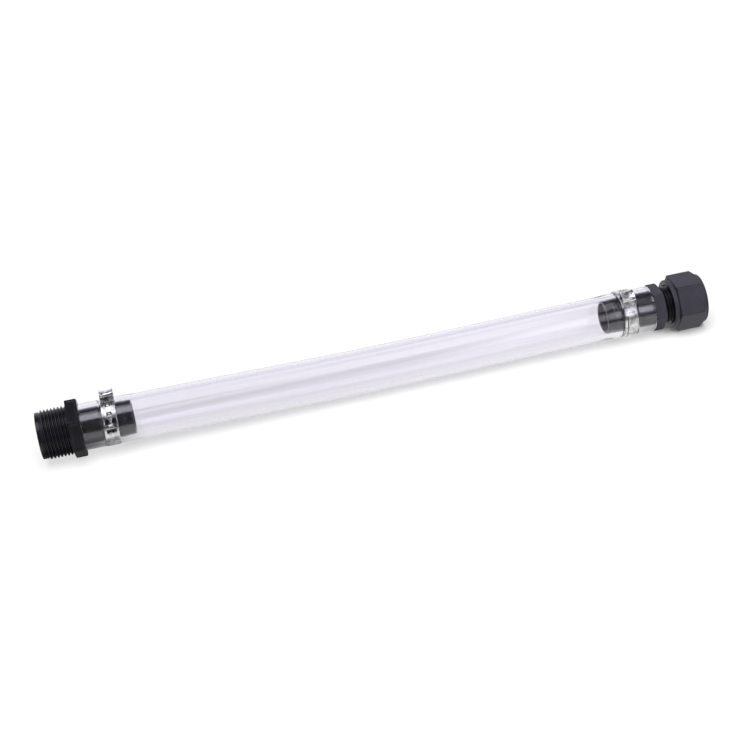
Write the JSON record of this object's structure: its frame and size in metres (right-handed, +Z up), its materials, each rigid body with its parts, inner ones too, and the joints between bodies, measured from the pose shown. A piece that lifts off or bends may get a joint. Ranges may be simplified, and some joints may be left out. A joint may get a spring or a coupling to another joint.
{
  "type": "condenser jacket hose with end fittings",
  "caption": "Straight clear hose on two black hose tails held by ear clamps, with a male pipe thread at one end and a screwed compression gland for an inner pipe at the other.",
  "frame": {"origin": "centre of the threaded port's end face, on the hose axis", "axes": "+X along the hose axis from the threaded port to the gland nut, +Z up with the nut lying on one flat"},
  "size_m": [0.3669, 0.0316, 0.033],
  "materials": {
    "clear_pvc": "clear, smooth",
    "black_plastic": "satin moulding",
    "grey_plastic": "fine-grained moulding",
    "clamp_steel": "bright strip",
    "packing_rubber": "matte",
    "washer_plastic": "smooth"
  },
  "bodies": {
    "jacket": {"clear_tube": "clear_pvc", "threaded_adapter": "black_plastic", "adapter_ear_clamp": "clamp_steel", "gland_body": "grey_plastic", "gland_ear_clamp": "clamp_steel", "packing_ring": "packing_rubber"},
    "washer": {"slip_washer": "washer_plastic"},
    "nut": {"gland_nut": "grey_plastic"}
  },
  "joints": [
    {"name": "nut_travel", "type": "slide", "parent": "jacket", "child": "washer", "axis": [1, 0, 0], "range_m": [0, 0.00726]},
    {"name": "nut_turn", "type": "hinge", "parent": "washer", "child": "nut", "pos_m": [0.3577, 0, 0], "axis": [1, 0, 0], "range_deg": [0, 1440]}
  ],
  "couplings": [
    {"joint": "nut_travel", "follows": "nut_turn", "m_per_rad": 0.00028876}
  ]
}
